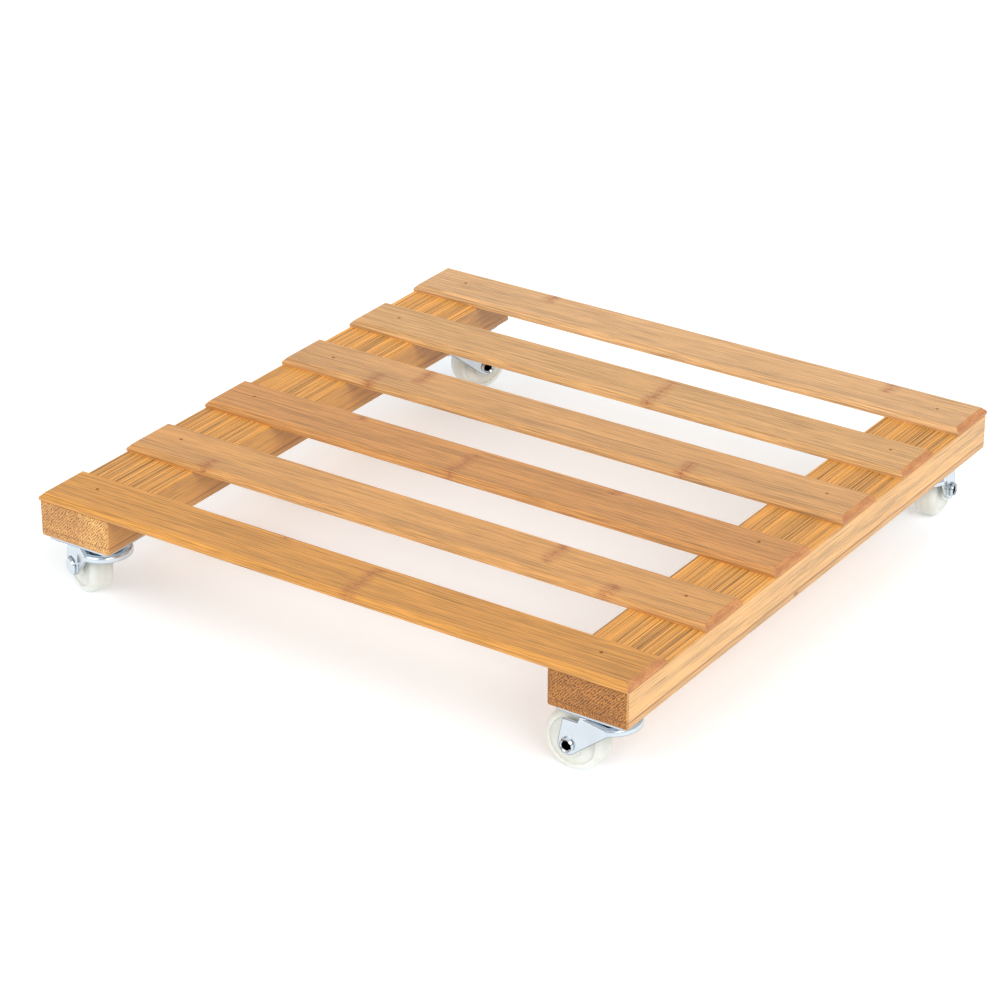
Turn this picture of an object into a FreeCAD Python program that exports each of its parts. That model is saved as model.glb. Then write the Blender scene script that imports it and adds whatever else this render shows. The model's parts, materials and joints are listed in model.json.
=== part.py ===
"""Slatted bamboo plant pot caddy on four swivel plate casters, in millimetres.

Six bevelled slats lie across two wide rails and are nailed down with brads. A pressed-steel swivel caster is
screwed under each rail end. The origin is on the floor under the middle of the deck: X runs along the slats,
Y from the front slat to the back slat, and Z up.
"""

import FreeCAD, Part
import math
import os
import re
import Sketcher

SLAT_COUNT = 6
BALL_COUNT = 12
SCREWS_PER_PLATE = 4
FAR = 60.0          # reach of a cutting sketch past the piece that it trims

# Driving dimensions: alias, value in millimetres, meaning.
SIZES = (
    ("deck_width", 350.0, "length of a slat"),
    ("deck_depth", 360.0, "front of the first slat to back of the last"),
    ("slat_width", 34.0, "width of a slat"),
    ("slat_thickness", 4.0, "thickness of a slat"),
    ("slat_bevel", 2.4, "45 degree bevel round the top of a slat"),
    ("second_setback", 3.5, "second slat behind its even spacing"),
    ("third_setback", 3.5, "third slat behind its even spacing"),
    ("fourth_setback", 5.5, "fourth slat behind its even spacing"),
    ("fifth_setback", 3.0, "fifth slat behind its even spacing"),
    ("rail_width", 44.0, "width of a rail"),
    ("rail_height", 20.0, "height of a rail"),
    ("rail_edge", 0.8, "chamfer on every edge of a rail"),
        ("rail_end_inset", 0.5, "front of the first slat to end of the rail"),
    ("nail_diameter", 1.3, "shank of a brad"),
    ("nail_head_diameter", 1.9, "head of a brad"),
    ("nail_head_height", 0.6, "height of a brad's head"),
    ("nail_recess", 0.8, "depth of a brad's head under the slat's top"),
    ("nail_length", 18.0, "length of a brad"),
    ("nail_clearance", 0.02, "gap round a brad, on the radius"),
    ("swivel_head_height", 8.0, "top of the fork's crown to the underside of a rail"),
    ("swivel_inset", 24.5, "front or back of the deck to a swivel axis, if the casters stood evenly"),
    ("caster_shift", 2.5, "how far forward of that all four casters are screwed on"),
    ("plate_side", 40.0, "side of the square mounting plate"),
    ("plate_corner", 4.0, "corner radius of the mounting plate"),
    ("plate_sheet", 1.5, "thickness of the mounting plate"),
    ("plate_hole_diameter", 4.2, "screw hole in the mounting plate"),
    ("plate_hole_margin", 5.0, "edge of the plate to the middle of a screw hole"),
    ("dish_mouth_radius", 13.6, "outer radius of the dish where it leaves the plate"),
    ("dish_floor_radius", 10.2, "outer radius of the dish at its floor"),
    ("screw_diameter", 3.5, "shank of a plate screw"),
    ("screw_head_diameter", 7.0, "head of a plate screw"),
    ("screw_head_height", 2.1, "height of a plate screw's head"),
    ("screw_length", 14.0, "length of a plate screw under its head"),
    ("screw_slot_width", 0.9, "width of one arm of the cross recess"),
    ("screw_slot_length", 4.0, "length of one arm of the cross recess"),
    ("screw_slot_depth", 1.1, "depth of the cross recess"),
    ("screw_clearance", 0.02, "gap round a screw's shank in the rail, on the radius"),
    ("ball_diameter", 3.0, "diameter of a race ball"),
    ("race_radius", 7.5, "swivel axis to a ball's centre"),
    ("race_depth", 0.4, "depth of the groove that a ball runs in"),
    ("ball_gap", 0.3, "gap between a ball and the dish"),
    ("kingpin_diameter", 6.0, "shank of the kingpin"),
    ("kingpin_head_diameter", 11.0, "head of the kingpin"),
    ("kingpin_head_height", 1.9, "height of the kingpin's head"),
    ("kingpin_tail_diameter", 8.4, "closed end of the kingpin"),
    ("kingpin_tail_height", 1.3, "height of the kingpin's closed end"),
    ("washer_diameter", 14.0, "thrust washer under the crown"),
    ("washer_thickness", 1.2, "thickness of the thrust washer"),
    ("washer_gap", 0.1, "gap between the crown and the thrust washer"),
    ("running_clearance", 0.05, "gap round a turning shaft, on the radius"),
    ("rivet_clearance", 0.02, "gap round a rivet that doesn't turn, on the radius"),
    ("fork_sheet", 1.5, "thickness of the fork's sheet"),
    ("fork_bend", 2.0, "outer radius of the bend round the crown"),
    ("crown_radius", 15.3, "outer radius of the crown"),
    ("crown_lift", 1.0, "level of the wheel's top to the top of the crown"),
    ("crown_depth", 3.6, "top of the crown to the lower edge of its skirt"),
    ("web_start", 5.8, "swivel axis forward to where the webs leave the crown"),
    ("web_low_start", 6.5, "swivel axis forward to where the webs' lower edge starts"),
    ("fold_distance", 10.0, "swivel axis back to the fold between web and leg"),
    ("leg_top_drop", 3.6, "top of the crown to the top of a leg"),
    ("leg_top_start", 12.2, "swivel axis back to where a leg's level top starts"),
    ("leg_top_reach", 2.7, "axle back to the top corner of a leg"),
    ("leg_end_radius", 5.3, "round end of a leg about the axle"),
    ("trail", 17.5, "swivel axis back to the axle"),
    ("wheel_diameter", 32.0, "tread of the wheel"),
    ("wheel_width", 13.4, "width of the wheel at its rim"),
    ("wheel_round", 3.0, "rounding of the tread's edges"),
    ("rim_width", 3.4, "tread to the recess in the wheel's side"),
    ("side_recess", 0.9, "depth of the recess in the wheel's side"),
    ("hub_diameter", 13.0, "boss round the wheel's bore"),
    ("hub_width", 17.4, "length of the wheel's hub"),
    ("side_play", 0.4, "gap between the hub and a leg"),
    ("axle_diameter", 6.0, "outside of the tubular axle rivet"),
    ("axle_wall", 0.6, "wall of the axle rivet round its bore"),
    ("axle_bore_end", 3.0, "length of the axle rivet that stays solid behind its head"),
    ("axle_head_lip", 2.0, "how far the domed head stands out round the axle rivet"),
    ("axle_head_height", 2.2, "height of the domed head"),
    ("axle_tail_lip", 0.9, "how far the rolled end stands out round the axle rivet"),
    ("axle_tail_height", 1.9, "height of the rolled end"),
)
SIZE = {alias: value for alias, value, meaning in SIZES}

# Where the brads were driven by hand: each slat's distances across from the rail's middle line and back from
# the slat's middle line, from the first slat to the last.
BRADS = {
    "left": ((0.0, 3.0), (-2.0, 3.5), (-3.0, 1.5), (1.5, -1.0), (-0.5, 1.0), (2.0, 1.5)),
    "right": ((-5.0, 3.0), (-1.0, 3.0), (-0.5, 5.5), (1.5, 3.5), (4.0, 4.0), (1.0, 0.0)),
}
SIDES = {"left": -1, "right": 1}

# Each caster: name, side (-1 left, 1 right), end (-1 front, 1 back), heading of its trail in degrees from +X
# where it came to rest, and the leg on which its axle rivet's domed head sits.
CASTERS = (
    ("front_left", -1, -1, 156.5, 1),
    ("front_right", 1, -1, 181.0, -1),
    ("rear_left", -1, 1, 65.0, 1),
    ("rear_right", 1, 1, 96.5, 1),
)

# Levels and places that several pieces share, as expressions in the sheet's names.
AXLE_LEVEL = "wheel_diameter / 2"
CROWN_HEIGHT = "(wheel_diameter + crown_lift)"
CASTER_HEIGHT = "(wheel_diameter + crown_lift + swivel_head_height)"
DECK_UNDERSIDE = f"({CASTER_HEIGHT} + rail_height)"
PLATE_UNDERSIDE = f"({CASTER_HEIGHT} - plate_sheet)"
HOLE_SPACING = "(plate_side - 2 * plate_hole_margin)"
SLAT_PITCH = f"((deck_depth - slat_width) / {SLAT_COUNT - 1})"
SETBACKS = ("0", "second_setback", "third_setback", "fourth_setback", "fifth_setback", "0")
RAIL_X = "(deck_width / 2 - rail_width / 2)"
SWIVEL_Y = "(deck_depth / 2 - swivel_inset)"
BALL_LEVEL = f"({CROWN_HEIGHT} - race_depth + ball_diameter / 2)"
DISH_UNDERSIDE = f"({CROWN_HEIGHT} - 2 * race_depth + ball_diameter + ball_gap)"
KINGPIN_FOOT = f"({CROWN_HEIGHT} - fork_sheet - washer_gap - washer_thickness)"
SKIRT_FOOT = f"({CROWN_HEIGHT} - crown_depth)"
LEG_TOP = f"({CROWN_HEIGHT} - leg_top_drop)"
LEG_INSIDE = "(hub_width / 2 + side_play)"
LEG_OUTSIDE = "(hub_width / 2 + side_play + fork_sheet)"

doc = FreeCAD.newDocument("plant_pot_caddy")


def make_sheet():
    """Write the driving dimensions into the spreadsheet that every expression reads."""
    sheet = doc.addObject("Spreadsheet::Sheet", "Sizes")
    for row, (alias, value, meaning) in enumerate(SIZES, start=1):
        sheet.set(f"A{row}", meaning)
        sheet.set(f"B{row}", str(value))
        sheet.setAlias(f"B{row}", alias)
    doc.recompute()


def in_sheet(expression):
    """Point each size named in an expression at its cell."""
    def cell(match):
        word = match.group(0)
        return f"Sizes.{word}" if word in SIZE else word

    return re.sub(r"[a-z_]+", cell, str(expression))


def bind(thing, attribute, expression):
    """Tie one property of an object to the sheet."""
    thing.setExpression(attribute, in_sheet(expression))


def new_body(label):
    body = doc.addObject("PartDesign::Body", label)
    body.Label = label
    return body


def place(body, across="0", along="0", height="0", heading=0.0):
    """Put a body where its expressions say, turned about Z by heading degrees."""
    body.Placement.Rotation = FreeCAD.Rotation(FreeCAD.Vector(0, 0, 1), heading)
    bind(body, "Placement.Base.x", across)
    bind(body, "Placement.Base.y", along)
    bind(body, "Placement.Base.z", height)


def origin_feature(body, role):
    return next(item for item in body.Origin.OriginFeatures if item.Role == role)


def new_sketch(body, plane, name, level=None):
    """Add a sketch on one of the body's own origin planes, lifted off it by level."""
    sketch = body.newObject("Sketcher::SketchObject", name)
    sketch.AttachmentSupport = [(origin_feature(body, plane), "")]
    sketch.MapMode = "FlatFace"
    if level is not None:
        bind(sketch, "AttachmentOffset.Base.z", level)
    return sketch


def fix_point(sketch, line, end, across, up):
    """Hold one end of a sketch edge at two expressions from the sketch's origin."""
    for kind, expression in (("DistanceX", across), ("DistanceY", up)):
        point = sketch.getPoint(line, end)
        start = point.x if kind == "DistanceX" else point.y
        index = sketch.addConstraint(Sketcher.Constraint(kind, -1, 1, line, end, start))
        bind(sketch, f"Constraints[{index}]", expression)


def draw_outline(sketch, corners):
    """Draw a closed outline of straight edges whose corners are pairs of expressions."""
    count = len(corners)
    ring = []
    for index in range(count):
        turn = 2 * math.pi * index / count
        ring.append(FreeCAD.Vector(10 * math.cos(turn), 10 * math.sin(turn), 0))
    first = sketch.GeometryCount
    for index in range(count):
        sketch.addGeometry(Part.LineSegment(ring[index], ring[(index + 1) % count]))
    for index in range(count):
        following = first + (index + 1) % count
        sketch.addConstraint(Sketcher.Constraint("Coincident", first + index, 2, following, 1))
    for index, (across, up) in enumerate(corners):
        fix_point(sketch, first + index, 1, across, up)


def draw_circle(sketch, across, up, diameter):
    """Draw a circle with its centre and diameter as expressions."""
    number = sketch.addGeometry(Part.Circle(FreeCAD.Vector(1, 1, 0), FreeCAD.Vector(0, 0, 1), 1))
    fix_point(sketch, number, 3, across, up)
    index = sketch.addConstraint(Sketcher.Constraint("Diameter", number, 2.0))
    bind(sketch, f"Constraints[{index}]", diameter)


def draw_box(sketch, width, height):
    """Draw a rectangle centred on the sketch's origin."""
    left, right = f"-({width}) / 2", f"({width}) / 2"
    low, high = f"-({height}) / 2", f"({height}) / 2"
    draw_outline(sketch, [(left, low), (right, low), (right, high), (left, high)])


def pad(body, sketch, length, name="Pad", symmetric=False):
    feature = body.newObject("PartDesign::Pad", name)
    feature.Profile = sketch
    if symmetric:
        feature.SideType = "Symmetric"
    bind(feature, "Length", length)
    return feature


def pocket(body, sketch, name, depth=None, upward=False, symmetric=False):
    """Cut a sketch out of the body: through everything, or to a depth."""
    feature = body.newObject("PartDesign::Pocket", name)
    feature.Profile = sketch
    feature.Reversed = upward
    if symmetric:
        feature.SideType = "Symmetric"
    if depth is None:
        feature.Type = "ThroughAll"
    else:
        bind(feature, "Length", depth)
    return feature


def turn_about(body, kind, sketch, axis, name):
    """Revolve a sketch right round one of its own axes, to add or to cut."""
    feature = body.newObject(f"PartDesign::{kind}", name)
    feature.Profile = sketch
    feature.ReferenceAxis = (sketch, [axis])
    feature.Angle = 360.0
    return feature


def ring_pattern(body, originals, count, name):
    """Repeat features round the body's Z axis."""
    pattern = body.newObject("PartDesign::PolarPattern", name)
    pattern.Originals = originals
    pattern.Axis = (origin_feature(body, "Z_Axis"), [""])
    pattern.Angle = 360.0
    pattern.Occurrences = count
    body.Tip = pattern
    return pattern


def row_pattern(body, originals, length, count, name):
    """Repeat features along the body's Y axis."""
    pattern = body.newObject("PartDesign::LinearPattern", name)
    pattern.Originals = originals
    pattern.Direction = (origin_feature(body, "Y_Axis"), [""])
    bind(pattern, "Length", length)
    pattern.Occurrences = count
    body.Tip = pattern
    return pattern


def edges_where(feature, wanted):
    """Names of a feature's edges that pass a test."""
    return [f"Edge{n}" for n, edge in enumerate(feature.Shape.Edges, start=1) if wanted(edge)]


def dress_edges(body, kind, feature, names, attribute, expression, name):
    """Fillet or chamfer the named edges of a feature."""
    dressing = body.newObject(f"PartDesign::{kind}", name)
    dressing.Base = (feature, names)
    bind(dressing, attribute, expression)
    return dressing


def lies_at(edge, level):
    """True for an edge whose whole length is at one height."""
    box = edge.BoundBox
    return abs(box.ZMin - level) < 1e-4 and abs(box.ZMax - level) < 1e-4


def slat_along(number):
    """Y of a slat's middle line."""
    return f"(-(deck_depth - slat_width) / 2 + {number} * {SLAT_PITCH} + {SETBACKS[number]})"


def make_slat(number):
    """One slat, in its own frame: middle of its underside at the origin."""
    body = new_body(f"slat_{number + 1}")
    outline = new_sketch(body, "XY_Plane", "SlatOutline")
    draw_box(outline, "deck_width", "slat_width")
    board = pad(body, outline, "slat_thickness")
    doc.recompute()
    top = edges_where(board, lambda edge: lies_at(edge, SIZE["slat_thickness"]))
    dress_edges(body, "Chamfer", board, top, "Size", "slat_bevel", "Bevel")
    recess_floor = "(slat_thickness - nail_recess - nail_head_height)"
    shank_holes = new_sketch(body, "XY_Plane", "ShankHoles")
    head_holes = new_sketch(body, "XY_Plane", "HeadHoles", recess_floor)
    for name, side in SIDES.items():
        across, along = BRADS[name][number]
        centre = (f"{side} * {RAIL_X} + {across}", along)
        draw_circle(shank_holes, *centre, "nail_diameter + 2 * nail_clearance")
        draw_circle(head_holes, *centre, "nail_head_diameter + 2 * nail_clearance")
    pocket(body, shank_holes, "ShankPocket", upward=True)
    pocket(body, head_holes, "HeadPocket", upward=True)
    place(body, along=slat_along(number), height=DECK_UNDERSIDE)


def make_rail(name):
    """One rail, in its own frame: middle of its underside at the origin."""
    body = new_body(f"rail_{name}")
    outline = new_sketch(body, "XY_Plane", "RailOutline")
    draw_box(outline, "rail_width", "deck_depth - 2 * rail_end_inset")
    beam = pad(body, outline, "rail_height")
    doc.recompute()
    every_edge = edges_where(beam, lambda edge: True)
    dress_edges(body, "Chamfer", beam, every_edge, "Size", "rail_edge", "EasedEdges")

    nail_reach = "(nail_length - slat_thickness + nail_recess)"
    pilots = new_sketch(body, "XY_Plane", "NailPilots", f"rail_height - {nail_reach}")
    for number, (across, along) in enumerate(BRADS[name]):
        draw_circle(pilots, across, f"{slat_along(number)} + {along}", "nail_diameter + 2 * nail_clearance")
    pocket(body, pilots, "NailHoles", upward=True)

    screws = new_sketch(body, "XY_Plane", "ScrewPilots", "screw_length - plate_sheet")
    for across in ("-1", "1"):
        for along in ("-1", "1"):
            draw_circle(screws, f"{across} * {HOLE_SPACING} / 2",
                        f"{along} * {HOLE_SPACING} / 2 - {SWIVEL_Y} - caster_shift",
                        "screw_diameter + 2 * screw_clearance")
    screw_holes = pocket(body, screws, "ScrewHolesFront")
    row_pattern(body, [screw_holes], f"2 * {SWIVEL_Y}", 2, "ScrewHoles")
    place(body, across=f"{SIDES[name]} * {RAIL_X}", height=CASTER_HEIGHT)


def make_brads(name):
    """The brads along one rail, in a frame with its origin level with the slats' tops."""
    body = new_body(f"brad_nails_{name}")
    head, shank = "nail_head_diameter / 2", "nail_diameter / 2"
    neck = "-nail_recess - nail_head_height"
    for number, (across, along) in enumerate(BRADS[name]):
        profile = new_sketch(body, "XZ_Plane", f"BradProfile{number + 1}", f"-{slat_along(number)} - {along}")
        bind(profile, "AttachmentOffset.Base.x", across)
        draw_outline(profile, [
            ("0", "-nail_recess"), (head, "-nail_recess"), (head, neck), (shank, neck),
            (shank, "-nail_length + 2 * nail_diameter"), ("0", "-nail_length")])
        turn_about(body, "Revolution", profile, "V_Axis", f"Brad{number + 1}")
    place(body, across=f"{SIDES[name]} * {RAIL_X}", height=f"{DECK_UNDERSIDE} + slat_thickness")


def make_plate(name):
    """Mounting plate with a pressed dish that carries the race and the kingpin."""
    body = new_body(name)
    outline = new_sketch(body, "XY_Plane", "PlateOutline", PLATE_UNDERSIDE)
    draw_box(outline, "plate_side", "plate_side")
    flange = pad(body, outline, "plate_sheet")
    doc.recompute()
    corners = edges_where(flange, lambda edge: edge.BoundBox.ZLength > SIZE["plate_sheet"] / 2)
    dress_edges(body, "Fillet", flange, corners, "Radius", "plate_corner", "RoundCorners")

    mouth = new_sketch(body, "XY_Plane", "DishMouth", PLATE_UNDERSIDE)
    draw_circle(mouth, "0", "0", "2 * (dish_mouth_radius - plate_sheet / 2)")
    pocket(body, mouth, "DishOpening", upward=True)

    profile = new_sketch(body, "XZ_Plane", "DishProfile")
    hole = "kingpin_diameter / 2 + rivet_clearance"
    floor = f"{DISH_UNDERSIDE} + plate_sheet"
    draw_outline(profile, [
        (hole, DISH_UNDERSIDE), ("dish_floor_radius", DISH_UNDERSIDE),
        ("dish_mouth_radius", PLATE_UNDERSIDE), ("dish_mouth_radius + plate_sheet / 2", CASTER_HEIGHT),
        ("dish_mouth_radius - plate_sheet", CASTER_HEIGHT),
        ("dish_floor_radius - plate_sheet / 2", floor), (hole, floor)])
    turn_about(body, "Revolution", profile, "V_Axis", "Dish")

    groove = new_sketch(body, "XZ_Plane", "RaceSection")
    draw_circle(groove, "race_radius", BALL_LEVEL, "ball_diameter + 2 * ball_gap")
    turn_about(body, "Groove", groove, "V_Axis", "Race")

    hole_centre = new_sketch(body, "XY_Plane", "ScrewHole", PLATE_UNDERSIDE)
    from_middle = f"{HOLE_SPACING} / 2"
    draw_circle(hole_centre, from_middle, from_middle, "plate_hole_diameter")
    screw_hole = pocket(body, hole_centre, "ScrewHolePocket", upward=True)
    ring_pattern(body, [screw_hole], SCREWS_PER_PLATE, "ScrewHoles")
    return body


def make_plate_screws(name):
    """The pan-head screws of one mounting plate, each with a cross recess."""
    body = new_body(name)
    profile = new_sketch(body, "XZ_Plane", "ScrewProfile")
    centre = f"{HOLE_SPACING} / sqrt(2)"
    shank = f"{centre} + screw_diameter / 2"
    head = f"{centre} + screw_head_diameter / 2"
    head_foot = f"{PLATE_UNDERSIDE} - screw_head_height"
    tip = f"{PLATE_UNDERSIDE} + screw_length"
    draw_outline(profile, [
        (centre, head_foot), (f"{head} - screw_head_height / 2", head_foot),
        (head, f"{head_foot} + screw_head_height / 2"), (head, PLATE_UNDERSIDE),
        (shank, PLATE_UNDERSIDE), (shank, f"{tip} - screw_diameter"), (centre, tip)])
    screw = turn_about(body, "Revolution", profile, "Axis0", "Screw")
    axis = profile.addGeometry(Part.LineSegment(FreeCAD.Vector(1, 0, 0), FreeCAD.Vector(1, 9, 0)), True)
    fix_point(profile, axis, 1, centre, "0")
    fix_point(profile, axis, 2, centre, CASTER_HEIGHT)

    slots = []
    arms = (("screw_slot_length", "screw_slot_width"), ("screw_slot_width", "screw_slot_length"))
    for number, (width, height) in enumerate(arms, start=1):
        arm = new_sketch(body, "XY_Plane", f"CrossArm{number}", f"{head_foot} + screw_slot_depth")
        draw_outline(arm, [
            (f"{centre} {across} ({width}) / 2", f"0 {up} ({height}) / 2")
            for across, up in (("-", "-"), ("+", "-"), ("+", "+"), ("-", "+"))])
        slots.append(pocket(body, arm, f"CrossSlot{number}"))
    ring_pattern(body, [screw] + slots, SCREWS_PER_PLATE, "Screws")
    return body


def make_kingpin(name):
    """Rivet that holds the fork under the plate: head in the dish, closed end under the washer."""
    body = new_body(name)
    profile = new_sketch(body, "XZ_Plane", "KingpinProfile")
    head_foot = f"{DISH_UNDERSIDE} + plate_sheet"
    draw_outline(profile, [
        ("0", f"{KINGPIN_FOOT} - kingpin_tail_height"),
        ("kingpin_tail_diameter / 2 - kingpin_tail_height / 2", f"{KINGPIN_FOOT} - kingpin_tail_height"),
        ("kingpin_tail_diameter / 2", f"{KINGPIN_FOOT} - kingpin_tail_height / 2"),
        ("kingpin_tail_diameter / 2", KINGPIN_FOOT), ("kingpin_diameter / 2", KINGPIN_FOOT),
        ("kingpin_diameter / 2", head_foot), ("kingpin_head_diameter / 2", head_foot),
        ("kingpin_head_diameter / 2", f"{head_foot} + kingpin_head_height / 3"),
        ("kingpin_head_diameter / 2 - kingpin_head_height", f"{head_foot} + kingpin_head_height"),
        ("0", f"{head_foot} + kingpin_head_height")])
    turn_about(body, "Revolution", profile, "V_Axis", "Kingpin")
    return body


def make_thrust_washer(name):
    """Washer between the fork's crown and the kingpin's closed end."""
    body = new_body(name)
    outline = new_sketch(body, "XY_Plane", "WasherOutline", KINGPIN_FOOT)
    draw_circle(outline, "0", "0", "washer_diameter")
    draw_circle(outline, "0", "0", "kingpin_diameter + 2 * rivet_clearance")
    pad(body, outline, "washer_thickness")
    return body


def make_ball_race(name):
    """Loose balls between the crown's groove and the dish's groove."""
    body = new_body(name)
    ball = body.newObject("PartDesign::AdditiveSphere", "Ball")
    bind(ball, "Radius", "ball_diameter / 2")
    bind(ball, "AttachmentOffset.Base.x", "race_radius")
    bind(ball, "AttachmentOffset.Base.z", BALL_LEVEL)
    ball.AttachmentSupport = [(origin_feature(body, "XY_Plane"), "")]
    ball.MapMode = "FlatFace"
    ring_pattern(body, [ball], BALL_COUNT, "Balls")
    return body


def draw_fork_plan(sketch):
    """Plan of the fork: a round crown whose webs close in to two parallel legs."""
    radius = SIZE["crown_radius"]
    back = -SIZE["web_start"]
    half = math.sqrt(radius ** 2 - back ** 2)
    leg = SIZE["hub_width"] / 2 + SIZE["side_play"] + SIZE["fork_sheet"]
    fold = SIZE["fold_distance"]
    reach = SIZE["trail"] + 2 * SIZE["leg_end_radius"]
    points = [(back, -half), (fold, -leg), (reach, -leg), (reach, leg), (fold, leg), (back, half)]
    corners = [FreeCAD.Vector(x, y, 0) for x, y in points]
    sweep = math.atan2(half, back)
    crown = Part.ArcOfCircle(Part.Circle(FreeCAD.Vector(), FreeCAD.Vector(0, 0, 1), radius),
                             sweep, 2 * math.pi - sweep)
    arc = sketch.addGeometry(crown)
    lines = [sketch.addGeometry(Part.LineSegment(start, end)) for start, end in zip(corners, corners[1:])]
    sketch.addConstraint(Sketcher.Constraint("Coincident", arc, 3, -1, 1))
    sketch.addConstraint(Sketcher.Constraint("Coincident", arc, 2, lines[0], 1))
    sketch.addConstraint(Sketcher.Constraint("Coincident", lines[-1], 2, arc, 1))
    for line, following in zip(lines, lines[1:]):
        sketch.addConstraint(Sketcher.Constraint("Coincident", line, 2, following, 1))
    index = sketch.addConstraint(Sketcher.Constraint("Radius", arc, radius))
    bind(sketch, f"Constraints[{index}]", "crown_radius")
    for end in (1, 2):
        index = sketch.addConstraint(Sketcher.Constraint("DistanceX", -1, 1, arc, end, back))
        bind(sketch, f"Constraints[{index}]", "-web_start")
    leg_end = "trail + 2 * leg_end_radius"
    for line, (across, up) in zip(lines[1:], (
            ("fold_distance", f"-{LEG_OUTSIDE}"), (leg_end, f"-{LEG_OUTSIDE}"),
            (leg_end, LEG_OUTSIDE), ("fold_distance", LEG_OUTSIDE))):
        fix_point(sketch, line, 1, across, up)


def draw_fork_trim(sketch):
    """Side view of what is cut off the fork: all that lies outside its skirt, webs and legs.

    The lower edge of the webs and the back edge of the legs are tangent to the round leg end.
    """
    axle_x, axle_z, round_end = SIZE["trail"], SIZE["wheel_diameter"] / 2, SIZE["leg_end_radius"]
    crown = SIZE["wheel_diameter"] + SIZE["crown_lift"]
    skirt = (-SIZE["web_low_start"], crown - SIZE["crown_depth"])
    corner = (axle_x + SIZE["leg_top_reach"], crown - SIZE["leg_top_drop"])

    def tangent_angle(point, side):
        away_x, away_z = point[0] - axle_x, point[1] - axle_z
        return math.atan2(away_z, away_x) + side * math.acos(round_end / math.hypot(away_x, away_z))

    start, finish = tangent_angle(skirt, 1), tangent_angle(corner, -1)
    turn = Part.Circle(FreeCAD.Vector(axle_x, axle_z, 0), FreeCAD.Vector(0, 0, 1), round_end)
    arc = sketch.addGeometry(Part.ArcOfCircle(turn, start, finish + 2 * math.pi))
    low = FreeCAD.Vector(axle_x + round_end * math.cos(start), axle_z + round_end * math.sin(start), 0)
    back = FreeCAD.Vector(axle_x + round_end * math.cos(finish), axle_z + round_end * math.sin(finish), 0)
    high = f"{CROWN_HEIGHT} + fork_sheet"
    outer = [
        ("trail + leg_top_reach", LEG_TOP), ("leg_top_start", LEG_TOP), ("fold_distance", high),
        (str(FAR), high), (str(FAR), str(-FAR)), (str(-FAR), str(-FAR)), (str(-FAR), SKIRT_FOOT),
        ("-web_low_start", SKIRT_FOOT)]
    guesses = [
        corner, (SIZE["leg_top_start"], corner[1]), (SIZE["fold_distance"], crown + 1),
        (FAR, crown + 1), (FAR, -FAR), (-FAR, -FAR), (-FAR, skirt[1]), skirt]
    path = [back] + [FreeCAD.Vector(x, z, 0) for x, z in guesses] + [low]
    lines = [sketch.addGeometry(Part.LineSegment(one, two)) for one, two in zip(path, path[1:])]
    for line, following in zip(lines, lines[1:]):
        sketch.addConstraint(Sketcher.Constraint("Coincident", line, 2, following, 1))
    for line, (across, up) in zip(lines[1:], outer):
        fix_point(sketch, line, 1, across, up)
    sketch.addConstraint(Sketcher.Constraint("Tangent", arc, 2, lines[0], 1))
    sketch.addConstraint(Sketcher.Constraint("Tangent", lines[-1], 2, arc, 1))
    fix_point(sketch, arc, 3, "trail", AXLE_LEVEL)
    index = sketch.addConstraint(Sketcher.Constraint("Radius", arc, round_end))
    bind(sketch, f"Constraints[{index}]", "leg_end_radius")


def make_fork(name):
    """Pressed fork: round crown with a skirt, webs that close in, and two legs for the axle."""
    body = new_body(name)
    foot = f"({AXLE_LEVEL} - 2 * leg_end_radius)"
    plan = new_sketch(body, "XY_Plane", "ForkPlan", foot)
    draw_fork_plan(plan)
    block = pad(body, plan, f"{CROWN_HEIGHT} - {foot}")
    doc.recompute()
    crown = SIZE["wheel_diameter"] + SIZE["crown_lift"]
    top = edges_where(block, lambda edge: lies_at(edge, crown) and edge.BoundBox.XMax < SIZE["trail"])
    bend = dress_edges(body, "Fillet", block, top, "Radius", "fork_bend", "CrownBend")
    doc.recompute()

    shell = body.newObject("PartDesign::Thickness", "Sheet")
    open_faces = []
    for number, face in enumerate(bend.Shape.Faces, start=1):
        normal = face.normalAt(0, 0)
        at_back = normal.x > 0.99 and face.CenterOfMass.x > SIZE["trail"]
        if at_back or normal.z < -0.99:
            open_faces.append(f"Face{number}")
    shell.Base = (bend, open_faces)
    shell.Reversed = True
    bind(shell, "Value", "fork_sheet")

    trim = new_sketch(body, "XZ_Plane", "SideTrim")
    draw_fork_trim(trim)
    pocket(body, trim, "SideTrimCut", symmetric=True)

    kingpin_hole = new_sketch(body, "XY_Plane", "KingpinHole")
    draw_circle(kingpin_hole, "0", "0", "kingpin_diameter + 2 * running_clearance")
    pocket(body, kingpin_hole, "KingpinHoleCut", upward=True)

    groove = new_sketch(body, "XZ_Plane", "RaceSection")
    draw_circle(groove, "race_radius", BALL_LEVEL, "ball_diameter")
    turn_about(body, "Groove", groove, "V_Axis", "Race")

    axle_hole = new_sketch(body, "XZ_Plane", "AxleHole")
    draw_circle(axle_hole, "trail", AXLE_LEVEL, "axle_diameter + 2 * rivet_clearance")
    pocket(body, axle_hole, "AxleHoleCut", symmetric=True)
    return body


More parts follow.
